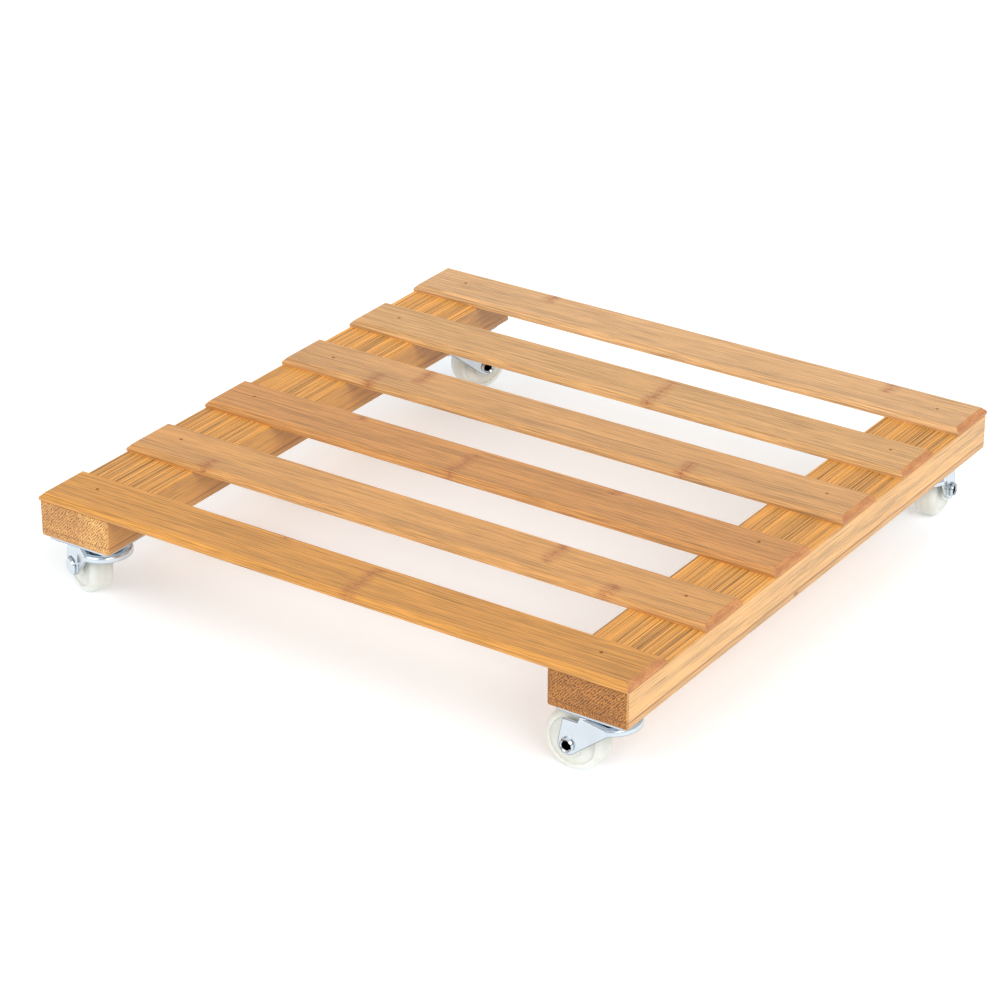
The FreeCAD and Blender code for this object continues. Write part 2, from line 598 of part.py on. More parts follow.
def make_axle(name):
    """Tubular rivet along Y, centred on the wheel: domed head at +Y, rolled open end at -Y."""
    body = new_body(name)
    profile = new_sketch(body, "XY_Plane", "AxleProfile")
    shank, bore = "axle_diameter / 2", "(axle_diameter / 2 - axle_wall)"
    head, tail = "(axle_diameter / 2 + axle_head_lip)", "(axle_diameter / 2 + axle_tail_lip)"
    head_top = f"{LEG_OUTSIDE} + axle_head_height"
    tail_end = f"-{LEG_OUTSIDE} - axle_tail_height"
    draw_outline(profile, [
        ("0", head_top), (f"0.45 * {head}", f"{head_top} - 0.06 * axle_head_height"),
        (f"0.8 * {head}", f"{head_top} - 0.36 * axle_head_height"),
        (head, f"{LEG_OUTSIDE} + 0.25 * axle_head_height"), (head, LEG_OUTSIDE),
        (shank, LEG_OUTSIDE), (shank, f"-{LEG_OUTSIDE}"), (tail, f"-{LEG_OUTSIDE}"),
        (tail, f"{tail_end} + axle_tail_height / 2"), (f"({tail} + {bore}) / 2", tail_end),
        (bore, f"{tail_end} + axle_tail_height / 3"), (bore, f"{LEG_OUTSIDE} - axle_bore_end"),
        ("0", f"{LEG_OUTSIDE} - axle_bore_end")])
    turn_about(body, "Revolution", profile, "V_Axis", "Rivet")
    return body


def make_wheel(name):
    """Moulded wheel, centred on its axle, which runs along Y."""
    body = new_body(name)
    profile = new_sketch(body, "XY_Plane", "WheelProfile")
    bore = "axle_diameter / 2 + running_clearance"
    hub, tread = "hub_diameter / 2", "wheel_diameter / 2"
    rim_inside = "wheel_diameter / 2 - rim_width"
    side, recess = "wheel_width / 2", "(wheel_width / 2 - side_recess)"
    draw_outline(profile, [
        (bore, "-hub_width / 2"), (hub, "-hub_width / 2"),
        (f"{hub} + side_recess / 2", f"-{recess}"), (f"{rim_inside} - side_recess / 2", f"-{recess}"),
        (rim_inside, f"-{side}"), (tread, f"-{side}"), (tread, side), (rim_inside, side),
        (f"{rim_inside} - side_recess / 2", recess), (f"{hub} + side_recess / 2", recess),
        (hub, "hub_width / 2"), (bore, "hub_width / 2")])
    disc = turn_about(body, "Revolution", profile, "V_Axis", "Disc")
    doc.recompute()
    radius = SIZE["wheel_diameter"] / 2
    tread_edges = edges_where(disc, lambda edge: abs(edge.BoundBox.XMax - radius) < 1e-4
                              and edge.BoundBox.YLength < 1e-4)
    dress_edges(body, "Fillet", disc, tread_edges, "Radius", "wheel_round", "TreadRound")
    return body


def make_caster(corner, side, end, heading, head_leg):
    """One swivel caster: fixed pieces square to the rail, swivelling pieces turned to their heading."""
    across = f"{side} * {RAIL_X}"
    along = f"{end} * {SWIVEL_Y} - caster_shift"
    for make in (make_plate, make_plate_screws, make_kingpin, make_thrust_washer):
        piece = make(make.__name__.replace("make_", "") + "_" + corner)
        place(piece, across, along)
    turn_screws = 45.0
    doc.getObject(f"plate_screws_{corner}").Placement.Rotation = FreeCAD.Rotation(
        FreeCAD.Vector(0, 0, 1), turn_screws)
    for make in (make_ball_race, make_fork):
        piece = make(make.__name__.replace("make_", "") + "_" + corner)
        place(piece, across, along, heading=heading)
    axle_across = f"{across} + trail * cos({heading} deg)"
    axle_along = f"{along} + trail * sin({heading} deg)"
    place(make_wheel(f"wheel_{corner}"), axle_across, axle_along, AXLE_LEVEL, heading)
    flip = 0.0 if head_leg > 0 else 180.0
    place(make_axle(f"axle_{corner}"), axle_across, axle_along, AXLE_LEVEL, heading + flip)


def check_and_export():
    """Stop on any failed object, then write each sub-part to its own STEP file."""
    doc.recompute()
    for item in doc.Objects:
        if "Invalid" in item.State or "Error" in item.State:
            raise RuntimeError(f"{item.Name} in {item.Label} failed: {item.State}")
    os.makedirs("parts", exist_ok=True)
    for body in [item for item in doc.Objects if item.TypeId == "PartDesign::Body"]:
        shape = body.Shape
        if shape.isNull() or not shape.isValid():
            raise RuntimeError(f"{body.Label} has no valid shape")
        shape.exportStep(os.path.join("parts", f"{body.Label}.step"))
        print(f"{body.Label}: {len(shape.Solids)} solid(s), {shape.Volume:.1f} mm3")


make_sheet()
for slat_number in range(SLAT_COUNT):
    make_slat(slat_number)
for rail_side in SIDES:
    make_rail(rail_side)
    make_brads(rail_side)
for caster in CASTERS:
    make_caster(*caster)
check_and_export()
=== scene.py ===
import json
import math

import bmesh
import bpy
from mathutils import Matrix, Vector


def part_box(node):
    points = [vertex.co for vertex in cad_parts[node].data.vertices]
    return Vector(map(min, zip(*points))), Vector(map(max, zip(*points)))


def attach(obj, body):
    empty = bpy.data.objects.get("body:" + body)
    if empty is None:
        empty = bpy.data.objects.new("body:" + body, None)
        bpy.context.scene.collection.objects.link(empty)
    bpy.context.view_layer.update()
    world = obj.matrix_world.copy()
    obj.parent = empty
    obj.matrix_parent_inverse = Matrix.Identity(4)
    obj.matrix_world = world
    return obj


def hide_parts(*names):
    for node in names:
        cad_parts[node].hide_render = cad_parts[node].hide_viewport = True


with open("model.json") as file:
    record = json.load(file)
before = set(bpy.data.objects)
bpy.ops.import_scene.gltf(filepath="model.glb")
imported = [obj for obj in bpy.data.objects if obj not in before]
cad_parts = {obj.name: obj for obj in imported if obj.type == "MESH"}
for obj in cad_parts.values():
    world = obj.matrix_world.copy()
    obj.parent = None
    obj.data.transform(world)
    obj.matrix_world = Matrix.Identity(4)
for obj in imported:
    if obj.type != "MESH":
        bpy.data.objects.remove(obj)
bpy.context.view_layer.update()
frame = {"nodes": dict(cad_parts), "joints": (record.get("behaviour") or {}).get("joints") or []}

MM = 0.001
CORNERS = ("front_left", "front_right", "rear_left", "rear_right")
SLATS = ("slat_1", "slat_2", "slat_3", "slat_4", "slat_5", "slat_6")
X, Y, Z = 0, 1, 2

# Sockets of the Mix node by number, because its number and colour sockets share their names.
MIX_SHARE = 0
MIX_NUMBERS = (2, 3)
MIX_COLOURS = (6, 7)
MIX_COLOUR_RESULT = 2

# Colours as sRGB, 0 to 255.
SLAT_TONES = {
    "slat_1": (203, 141, 63),
    "slat_2": (203, 147, 84),
    "slat_3": (197, 137, 74),
    "slat_4": (201, 149, 92),
    "slat_5": (208, 158, 100),
    "slat_6": (211, 163, 110),
}
SLAT_NODE = (158, 90, 48)
SLAT_END_DARK = (146, 84, 46)
SLAT_END_LIGHT = (208, 144, 86)
RAIL_TOP_TONE = (208, 145, 66)
RAIL_SIDE_TONE = (217, 166, 106)
# Painted shade: the rails' sides that face in, under the deck, darker than the outer sides.
RAIL_INSIDE_SHADED_TONE = (172, 118, 50)
RAIL_END_TONES = {      # dark bundles, lighter ground
    "rail_left": ((122, 68, 26), (236, 180, 106)),
    "rail_right": ((70, 34, 10), (188, 122, 50)),
}
END_STAIN = (158, 92, 46)
GLUE_BROWN = (150, 92, 44)
KNOT_BROWN = (120, 66, 30)
PLASTIC_TONES = ((216, 216, 207), (226, 226, 218))
PLASTIC_DUST = (190, 185, 170)
FLOOR_TONES = ((236, 242, 246), (240, 246, 250))
WHITE = (255, 255, 255)

# Metals: darker and lighter tone, lowest and highest roughness, and a seed for the noise.
METALS = {
    "dull_nail": ((10, 7, 5), (30, 23, 18), 0.45, 0.65, 4.0),
    "zinc_fork": ((192, 201, 208), (220, 227, 233), 0.12, 0.24, 1.0),
    "zinc_plate": ((176, 187, 198), (208, 217, 226), 0.16, 0.3, 2.0),
    "bright_rivet": ((190, 197, 203), (220, 225, 229), 0.07, 0.18, 3.0),
    "screw_steel": ((172, 174, 176), (216, 216, 214), 0.22, 0.4, 5.0),
    "ball_steel": ((150, 152, 156), (206, 208, 210), 0.06, 0.16, 6.0),
}

# Bamboo nodes on each slat, in millimetres from its middle: place along it, then from and to across it.
NODE_BANDS = {
    "slat_1": ((-41, 12, 17), (16, -17, 12)),
    "slat_2": ((77, -6, 17), (119, -17, -6), (-125, -17, -6)),
    "slat_3": ((-92, 9, 17), (-17, -17, 9), (66, 9, 17)),
    "slat_4": ((-95, -3, 17), (-117, -17, -3), (81, -17, -3)),
    "slat_5": ((21, -17, 13), (10, 13, 17)),
    "slat_6": ((-97, 3, 17), (121, 3, 17)),
}
# Where each slat's two bamboo strips meet, in millimetres across from its middle.
GLUE_LINES = {"slat_1": 12, "slat_2": -6, "slat_3": 9, "slat_4": -3, "slat_5": 13, "slat_6": 3}
RAIL_GLUE_LEVEL = 45.0      # millimetres above the floor, the top of a rail's thin bottom layer
RAIL_STRIP_EDGE = -149.7    # millimetres from the middle, where two strips of the left rail meet
KNOT = (-25.0, 43.5)        # millimetres along the right rail and above the floor
RAIL_SEEDS = {"rail_left": 23.0, "rail_right": 57.0}

# Noise cells per millimetre: along the fibres, across them, and up.
FIBRE_DRIFT = (0.015, 0.03, 0.03)
FINE_FIBRES = (0.05, 4.2, 4.2)
MIDDLE_FIBRES = (0.022, 2.3, 2.3)
BROAD_FIBRES = (0.008, 0.16, 0.16)
SLAT_DASHES = (0.045, 3.6, 3.6)
NODE_STROKES = (0.2, 1.5, 1.5)
NODE_CURL = (0.05, 0.16, 0.16)
END_MOTTLE = (0.5, 0.12, 0.3)
RAIL_STRIPES = (0.004, 2.8, 0.2)
GLUE_BREAKS = (0.02, 0.1, 0.1)

BUNDLE_WARP = (2.6, 2.6, 0.0)       # millimetres that the rows of bundles wander
BUNDLE_WARP_SCALE = 0.45            # noise cells per millimetre of that wandering
GLUE_BLUR = 0.15                    # millimetres either side of a slat's glue line
EDGE_SHADE_RADIUS = 0.8 * MM        # reach of the painted dark reflection at a metal edge

WOOD_EDGE = 0.3 * MM                # width of the bevel on the wood's edges
FORK_EDGE = 0.25 * MM
SHARP_ANGLE = math.radians(30.0)    # edges sharper than this get a bevel
FLAT_ANGLE = math.radians(1.0)      # faces closer than this are merged first

# The moulded wheel.
LATHE_STEPS = 128
WHEEL_LIP = 0.35 * MM               # radius of its small fillets
WHEEL_HUB_RADIUS = 6.5 * MM
WHEEL_RIM_DEPTH = 3.6 * MM          # tread to the recess
WHEEL_RECESS = 0.9 * MM
WHEEL_DRAFT = 0.1 * MM              # slant of the recess's walls
WHEEL_CORNER = 3.8 * MM             # radius at the sides of the tread
CORNER_START = 75                   # degrees of that arc, which ends on the tread at 0
PARTING_HEIGHT = 0.06 * MM          # how far the parting line stands out
PARTING_FOOT = 0.28 * MM            # half widths of the parting line
PARTING_TOP = 0.1 * MM
RIM_BAND = (0.75, 0.85)             # shares of the tread's radius between which the rim is measured

FLOOR_REACH = 6.0                   # metres from the middle to each side
FLOOR_GLOW = 0.22

# Strength of the surroundings at the horizon and below, and from SKY_TOP up on a sky of radius 1.
SKY_LOW = 0.55
SKY_HIGH = 0.85
SKY_TOP = 0.8
LIGHT_DISTANCE = 3

# The camera, in metres and degrees, with the lens and its sensor in millimetres.
CAMERA_PLACE = (0.8432, -1.2724, 0.7983)
CAMERA_TURN = 34.03                 # right of the front
CAMERA_DROP = 26.56                 # downwards
CAMERA_LENS = 117.8
CAMERA_SENSOR = 36.0
CAMERA_REACH = 20.0


def linear(colour):
    """An sRGB colour, 0 to 255, as the linear RGBA that a shader takes."""
    parts = []
    for value in colour:
        share = value / 255
        parts.append(share / 12.92 if share <= 0.04045 else ((share + 0.055) / 1.055) ** 2.4)
    return (*parts, 1.0)


class Tree:
    """A material's nodes, with a short call for each kind that is used here."""

    def __init__(self, name):
        self.material = bpy.data.materials.new(name)
        self.material.use_nodes = True
        self.tree = self.material.node_tree
        self.shader = self.tree.nodes["Principled BSDF"]

    def put(self, socket, value):
        """Link a socket to another, or set it to a plain value."""
        if isinstance(value, bpy.types.NodeSocket):
            self.tree.links.new(value, socket)
        else:
            socket.default_value = value

    def node(self, kind, inputs=(), output=0, **settings):
        """Add a node, give its inputs by name or number, and return one of its outputs."""
        node = self.tree.nodes.new(kind)
        for setting, value in settings.items():
            setattr(node, setting, value)
        for key, value in dict(inputs).items():
            self.put(node.inputs[key], value)
        return node.outputs[output]

    def calc(self, operation, *values):
        """One step of arithmetic."""
        return self.node("ShaderNodeMath", enumerate(values), operation=operation)

    def blend(self, share, low, high):
        """Mix two colours: low where share is 0 and high where it is 1."""
        low_socket, high_socket = MIX_COLOURS
        inputs = {MIX_SHARE: share, low_socket: self.colour(low), high_socket: self.colour(high)}
        return self.node("ShaderNodeMix", inputs, output=MIX_COLOUR_RESULT,
                         data_type="RGBA", clamp_factor=True)

    def blend_numbers(self, share, low, high):
        """Mix two numbers: low where share is 0 and high where it is 1."""
        low_socket, high_socket = MIX_NUMBERS
        inputs = {MIX_SHARE: share, low_socket: low, high_socket: high}
        return self.node("ShaderNodeMix", inputs, data_type="FLOAT")

    def colour(self, value):
        """An sRGB colour made linear. A socket stays as it is."""
        return linear(value) if isinstance(value, tuple) else value

    def rise(self, value, low, high, start=0.0, end=1.0):
        """Go smoothly from start to end as value goes from low to high."""
        inputs = {"Value": value, "From Min": low, "From Max": high, "To Min": start, "To Max": end}
        return self.node("ShaderNodeMapRange", inputs, interpolation_type="SMOOTHSTEP")

    def scaled(self, vector, scale, shift=(0.0, 0.0, 0.0), turn=(0.0, 0.0, 0.0)):
        """A vector scaled, then turned and shifted."""
        inputs = {"Vector": vector, "Scale": scale, "Location": shift, "Rotation": turn}
        return self.node("ShaderNodeMapping", inputs)

    def noise(self, vector, detail=2.0, roughness=0.5):
        """Soft noise about one half. Its cells are about one unit of the vector wide."""
        inputs = {"Vector": vector, "Scale": 1.0, "Detail": detail, "Roughness": roughness}
        return self.node("ShaderNodeTexNoise", inputs)

    def millimetres(self):
        """Place in the row frame at rest, in millimetres."""
        place = self.node("ShaderNodeTexCoord", output="Object")
        return self.scaled(place, (1 / MM, 1 / MM, 1 / MM))

    def parts(self, vector):
        """The X, Y and Z of a vector."""
        split = self.tree.nodes.new("ShaderNodeSeparateXYZ")
        self.put(split.inputs[0], vector)
        return split.outputs

    def joined(self, x, y, z):
        """A vector from its X, Y and Z."""
        return self.node("ShaderNodeCombineXYZ", {"X": x, "Y": y, "Z": z})

    def looking(self, axis):
        """How squarely a face looks along an axis, from -1 to 1."""
        normal = self.node("ShaderNodeTexCoord", output="Normal")
        return self.parts(normal)[axis]

    def facing(self, axis):
        """The same, 0 to 1, whichever way it looks."""
        return self.calc("ABSOLUTE", self.looking(axis))

    def bump(self, height, strength, distance):
        """Relief from a height of 0 to 1 that stands for a distance in metres."""
        inputs = {"Height": height, "Strength": strength, "Distance": distance}
        self.put(self.shader.inputs["Normal"], self.node("ShaderNodeBump", inputs))

    def shade(self, **values):
        """Set the shader's sockets, named with underscores for spaces."""
        for name, value in values.items():
            self.put(self.shader.inputs[name.replace("_", " ")], value)
        return self.material


def shaded(colour, factor):
    """The same sRGB colour, darker or lighter."""
    return tuple(min(255.0, value * factor) for value in colour)


def fibres(tree, grain, seed, wander=0.7):
    """Three widths of bamboo fibre. Grain is a vector with X along the fibres, in millimetres."""
    drift = tree.noise(tree.scaled(grain, FIBRE_DRIFT, (seed, 0, 0)), detail=1.0)
    along, across, up = tree.parts(grain)
    swung = tree.calc("MULTIPLY_ADD", drift, wander, across)
    bent = tree.joined(along, swung, up)
    shift = (seed * 7.3, seed * 3.1, seed)
    fine = tree.noise(tree.scaled(bent, FINE_FIBRES, shift), detail=2.0, roughness=0.6)
    middle = tree.noise(tree.scaled(bent, MIDDLE_FIBRES, shift), detail=2.0, roughness=0.6)
    broad = tree.noise(tree.scaled(bent, BROAD_FIBRES, shift), detail=1.0)
    return fine, middle, broad


def weigh(tree, base, *pairs):
    """Base plus each noise's distance from its middle times its weight."""
    total = base
    for value, weight in pairs:
        distance = tree.calc("SUBTRACT", value, 0.5)
        total = tree.calc("ADD", total, tree.calc("MULTIPLY", distance, weight))
    return total


def three_tone(tree, share, colour, spread=0.2):
    """A colour that darkens and lightens by spread as share leaves one half."""
    dark, light = shaded(colour, 1.0 - spread), shaded(colour, 1.0 + 0.5 * spread)
    lower = tree.blend(tree.rise(share, 0.1, 0.5), dark, colour)
    return tree.blend(tree.rise(share, 0.5, 0.9), lower, light)


def bundle_ends(tree, section, pitch, lean):
    """Cut ends of the fibre bundles, as short slanting dashes: 1 in a bundle and 0 between.

    Section's X and Y cross the fibres, in millimetres. Pitch is the distance between rows of dashes.
    """
    warp_noise = {"Vector": section, "Scale": BUNDLE_WARP_SCALE, "Detail": 3.0}
    ragged = tree.node("ShaderNodeTexNoise", warp_noise, output="Color")
    warp = tree.node("ShaderNodeVectorMath", {0: ragged, 1: BUNDLE_WARP}, operation="MULTIPLY")
    warped = tree.node("ShaderNodeVectorMath", {0: section, 1: warp}, operation="ADD")
    across, up = tree.parts(tree.scaled(warped, (1.0, 1.0, 1.0), turn=(0, 0, lean)))[:2]
    rows = tree.calc("SINE", tree.calc("MULTIPLY", across, 2 * math.pi / pitch))
    break_across = tree.calc("MULTIPLY", across, 1.6 / pitch)
    break_up = tree.calc("MULTIPLY", up, 0.9 / pitch)
    breaks = tree.noise(tree.joined(break_across, break_up, 0.0), detail=2.0)
    return tree.rise(weigh(tree, tree.calc("MULTIPLY", rows, 0.5), (breaks, 3.4)), -0.25, 0.5)


def node_band(tree, along, across, wobble, band):
    """Shares of one bamboo node: its brown zone, and the thin ridge in the middle of it."""
    place, low, high = band
    offset = tree.calc("SUBTRACT", along, float(place))
    distance = tree.calc("ABSOLUTE", tree.calc("ADD", offset, wobble))
    past_low = tree.rise(across, low - 0.4, low + 0.4)
    before_high = tree.rise(across, high - 0.4, high + 0.4, 1.0, 0.0)
    inside = tree.calc("MULTIPLY", past_low, before_high)
    zone = tree.calc("MULTIPLY", tree.rise(distance, 0.8, 6.5, 1.0, 0.0), inside)
    ridge = tree.calc("MULTIPLY", tree.rise(distance, 0.2, 0.9, 1.0, 0.0), inside)
    return zone, ridge


def slat_nodes(tree, name, grain, seed, colour):
    """A slat's colour with its bamboo nodes laid over it, and the ridges in the middle of them."""
    along, across = tree.parts(grain)[:2]
    strokes = tree.noise(tree.scaled(grain, NODE_STROKES, (seed, 1.0, 0)), detail=3.0, roughness=0.7)
    curl = tree.noise(tree.scaled(grain, NODE_CURL, (0, seed, 0)), detail=2.0)
    wobble = tree.calc("MULTIPLY", tree.calc("SUBTRACT", curl, 0.5), 6.0)
    ridges = 0.0
    for band in NODE_BANDS[name]:
        zone, ridge = node_band(tree, along, across, wobble, band)
        stroked = tree.calc("MULTIPLY", zone, tree.rise(strokes, 0.42, 0.62, 0.1, 0.85))
        colour = tree.blend(stroked, colour, SLAT_NODE)
        broken = tree.calc("MULTIPLY", ridge, tree.rise(strokes, 0.4, 0.56, 0.15, 0.7))
        colour = tree.blend(broken, colour, SLAT_NODE)
        ridges = tree.calc("ADD", ridges, ridge)
    return colour, ridges


def slat_end_colour(tree, grain, seed, bundles):
    """Reddish sawn end: dark fibre bundles in a mottled ground."""
    mottle = tree.noise(tree.scaled(grain, END_MOTTLE, (seed, 0, 0)), detail=2.0)
    ground = tree.blend(tree.rise(mottle, 0.35, 0.65, 0.0, 0.4), SLAT_END_LIGHT, SLAT_END_DARK)
    return tree.blend(tree.calc("MULTIPLY", bundles, 0.55), ground, SLAT_END_DARK)


def bamboo_slat(name):
    """Satin lacquered bamboo with its grain along X, its nodes and its reddish sawn ends."""
    tree = Tree(f"bamboo_{name}")
    seed = 11.0 * (SLATS.index(name) + 1)
    low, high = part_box(name)
    middle_line = (low.y + high.y) / 2 / MM
    along, across_all, up = tree.parts(tree.millimetres())
    across = tree.calc("SUBTRACT", across_all, middle_line)
    grain = tree.joined(along, across, up)
    fine, middle, broad = fibres(tree, grain, seed)

    glue_line = GLUE_LINES[name]
    second_strip = tree.rise(across, glue_line - GLUE_BLUR, glue_line + GLUE_BLUR)
    strip_tone = tree.calc("MULTIPLY_ADD", second_strip, 0.1, 0.48)
    tone = weigh(tree, strip_tone, (fine, 1.8), (middle, 2.4), (broad, 0.4))
    colour = three_tone(tree, tone, SLAT_TONES[name], spread=0.22)
    dashes = tree.noise(tree.scaled(grain, SLAT_DASHES, (seed, 5.0, 0)), detail=2.0)
    colour = tree.blend(tree.rise(dashes, 0.56, 0.7, 0.0, 0.6), colour, shaded(SLAT_TONES[name], 0.7))
    colour, ridges = slat_nodes(tree, name, grain, seed, colour)

    bundles = bundle_ends(tree, tree.joined(across, up, 0.0), pitch=0.9, lean=0.2)
    sawn = tree.rise(tree.facing(X), 0.4, 0.6)
    colour = tree.blend(sawn, colour, slat_end_colour(tree, grain, seed, bundles))

    height = weigh(tree, 0.5, (fine, 0.5), (middle, 0.7))
    height = tree.calc("ADD", height, tree.calc("MULTIPLY", ridges, 0.6))
    sunk = tree.calc("MULTIPLY", tree.calc("MULTIPLY", bundles, sawn), 0.6)
    tree.bump(tree.calc("SUBTRACT", height, sunk), 0.4, 0.09 * MM)
    gloss = weigh(tree, 0.42, (fine, 0.16), (broad, 0.12))
    roughness = tree.calc("MULTIPLY_ADD", sawn, 0.16, gloss)
    return tree.shade(Base_Color=colour, Roughness=roughness, Coat_Weight=0.12, Coat_Roughness=0.3)


def rail_side_colour(tree, name, along, up, tone, glue):
    """Pale sides with a darker bottom layer, painted shade on the side that faces in under the deck and,
    on the right rail, a knot.
    """
    side = three_tone(tree, tone, RAIL_SIDE_TONE, spread=0.2)
    shaded_inner = three_tone(tree, tone, RAIL_INSIDE_SHADED_TONE, spread=0.24)
    inward = 1.0 if name == "rail_left" else -1.0
    facing_in = tree.calc("MULTIPLY", tree.looking(X), inward)
    # Painted shade: sides that face in, under the deck, go three quarters of the way to the darker
    # shaded tone.
    side = tree.blend(tree.rise(facing_in, 0.3, 0.7, 0.0, 0.75), side, shaded_inner)
    below_glue = tree.rise(up, RAIL_GLUE_LEVEL - 0.2, RAIL_GLUE_LEVEL + 0.1, 0.3, 0.0)
    side = tree.blend(below_glue, side, shaded(RAIL_SIDE_TONE, 0.85))
    if name == "rail_right":
        off_along = tree.calc("MULTIPLY", tree.calc("SUBTRACT", along, KNOT[0]), 0.4)
        off_up = tree.calc("SUBTRACT", up, KNOT[1])
        squares = [tree.calc("POWER", offset, 2.0) for offset in (off_along, off_up)]
        reach = tree.calc("SQRT", tree.calc("ADD", *squares))
        side = tree.blend(tree.rise(reach, 0.4, 1.3, 0.7, 0.0), side, KNOT_BROWN)
    return tree.blend(glue, side, GLUE_BROWN)


def rail_end_colour(tree, name, across, up, bundles, glue):
    """Sawn end: dark fibre bundles in a lighter ground, with a stained outer strip on the left rail."""
    dark, light = RAIL_END_TONES[name]
    patch = tree.noise(tree.scaled(tree.joined(across, up, 0.0), (0.09, 0.12, 0.0)), detail=2.0)
    ground = tree.blend(tree.rise(patch, 0.35, 0.65, 0.0, 0.22), light, dark)
    if name == "rail_left":
        outer_strip = tree.rise(across, RAIL_STRIP_EDGE - 0.3, RAIL_STRIP_EDGE + 0.3, 0.3, 0.0)
        ground = tree.blend(outer_strip, ground, END_STAIN)
    end = tree.blend(tree.calc("MULTIPLY", bundles, 0.8), ground, dark)
    return tree.blend(tree.calc("MULTIPLY", glue, 0.5), end, dark)


def bamboo_rail(name):
    """Edge-glued bamboo with its grain along Y: striped top, pale sides and speckled sawn ends."""
    tree = Tree(f"bamboo_{name}")
    seed = RAIL_SEEDS[name]
    across, along, up = tree.parts(tree.millimetres())
    grain = tree.joined(along, across, up)
    fine, middle, broad = fibres(tree, grain, seed, wander=0.4)

    stripes = tree.noise(tree.scaled(grain, RAIL_STRIPES, (seed, seed, 0)), detail=2.0, roughness=0.65)
    top_tone = weigh(tree, 0.5, (stripes, 4.4), (fine, 1.4), (broad, 0.3))
    top = three_tone(tree, top_tone, RAIL_TOP_TONE, spread=0.36)

    off_line = tree.calc("ABSOLUTE", tree.calc("SUBTRACT", up, RAIL_GLUE_LEVEL))
    broken = tree.noise(tree.scaled(grain, GLUE_BREAKS, (seed, 0, 0)), detail=2.0)
    shown = tree.rise(broken, 0.35, 0.6, 0.5, 0.95)
    glue = tree.calc("MULTIPLY", tree.rise(off_line, 0.2, 0.6, 1.0, 0.0), shown)
    side_tone = weigh(tree, 0.54, (middle, 1.0), (fine, 3.0), (broad, 1.2))
    side = rail_side_colour(tree, name, along, up, side_tone, glue)
    colour = tree.blend(tree.rise(tree.facing(Z), 0.6, 0.8), side, top)

    section = tree.joined(across, up, 0.0)
    lower_layer = tree.rise(up, RAIL_GLUE_LEVEL - 0.1, RAIL_GLUE_LEVEL + 0.1, 1.0, 0.0)
    upper = bundle_ends(tree, section, pitch=1.15, lean=0.75)
    lower = bundle_ends(tree, section, pitch=1.15, lean=-0.6)
    bundles = tree.blend_numbers(lower_layer, upper, lower)
    end = rail_end_colour(tree, name, across, up, bundles, glue)
    sawn = tree.rise(tree.facing(Y), 0.6, 0.8)
    colour = tree.blend(sawn, colour, end)

    height = weigh(tree, 0.5, (fine, 0.5), (stripes, 0.9))
    sunk = tree.calc("MULTIPLY", tree.calc("MULTIPLY", bundles, sawn), 0.7)
    height = tree.calc("SUBTRACT", height, sunk)
    height = tree.calc("SUBTRACT", height, tree.calc("MULTIPLY", glue, 0.5))
    tree.bump(height, 0.4, 0.1 * MM)
    roughness = tree.calc("MULTIPLY_ADD", sawn, 0.15, weigh(tree, 0.45, (fine, 0.2), (broad, 0.1)))
    return tree.shade(Base_Color=colour, Roughness=roughness, Coat_Weight=0.1, Coat_Roughness=0.3)


def metal(name):
    """Steel, plated or dull: cloudy tone, fine rolling marks, small scuffs and painted dark reflections
    along the edges.
    """
    dark, light, smoothest, roughest, seed = METALS[name]
    tree = Tree(name)
    place = tree.millimetres()
    cloud = tree.noise(tree.scaled(place, (0.12, 0.12, 0.12), (seed, 0, 0)), detail=2.0)
    rolled = tree.noise(tree.scaled(place, (0.5, 0.5, 9.0), (seed, 3.0, 0)), detail=2.0)
    scuffs = tree.noise(tree.scaled(place, (1.4, 1.4, 1.4), (seed, 0, 8.0)), detail=3.0, roughness=0.6)
    tone = weigh(tree, 0.55, (cloud, 0.7), (rolled, 0.3))
    colour = tree.blend(tone, dark, light)
    true_normal = tree.node("ShaderNodeNewGeometry", output="True Normal")
    rounded = tree.node("ShaderNodeBevel", {"Radius": EDGE_SHADE_RADIUS}, samples=8)
    agreement = tree.node("ShaderNodeVectorMath", {0: true_normal, 1: rounded}, output="Value",
                          operation="DOT_PRODUCT")
    # Painted reflection: near the edges, where the rounded normal leaves the true one, the colour
    # darkens towards a near-black tone.
    colour = tree.blend(tree.rise(agreement, 0.84, 0.99, 0.9, 0.0), colour, shaded(dark, 0.38))
    worn = tree.rise(scuffs, 0.62, 0.76)
    patchy = weigh(tree, 0.5, (cloud, 0.8), (rolled, 0.5))
    roughness = tree.rise(patchy, 0.2, 0.8, smoothest, roughest)
    roughness = tree.calc("MULTIPLY_ADD", worn, 0.08, roughness)
    tree.bump(weigh(tree, 0.5, (rolled, 0.4), (scuffs, 0.2)), 0.08, 0.02 * MM)
    return tree.shade(Base_Color=colour, Roughness=roughness, Metallic=1.0)


def milky_plastic():
    """Translucent moulded polypropylene with faint flow marks and a little floor dust."""
    tree = Tree("milky_plastic")
    place = tree.millimetres()
    flow = tree.noise(tree.scaled(place, (0.09, 0.09, 0.09)), detail=1.0)
    grit = tree.noise(tree.scaled(place, (2.2, 2.2, 2.2)), detail=3.0, roughness=0.6)
    colour = tree.blend(tree.rise(flow, 0.3, 0.7), *PLASTIC_TONES)
    colour = tree.blend(tree.rise(grit, 0.66, 0.8, 0.0, 0.12), colour, PLASTIC_DUST)
    roughness = weigh(tree, 0.3, (flow, 0.1), (grit, 0.1))
    tree.bump(weigh(tree, 0.5, (flow, 0.2), (grit, 0.2)), 0.06, 0.03 * MM)
    return tree.shade(Base_Color=colour, Roughness=roughness, Subsurface_Weight=0.6,
                      Subsurface_Radius=(1.0, 0.97, 0.9), Subsurface_Scale=3.0 * MM)


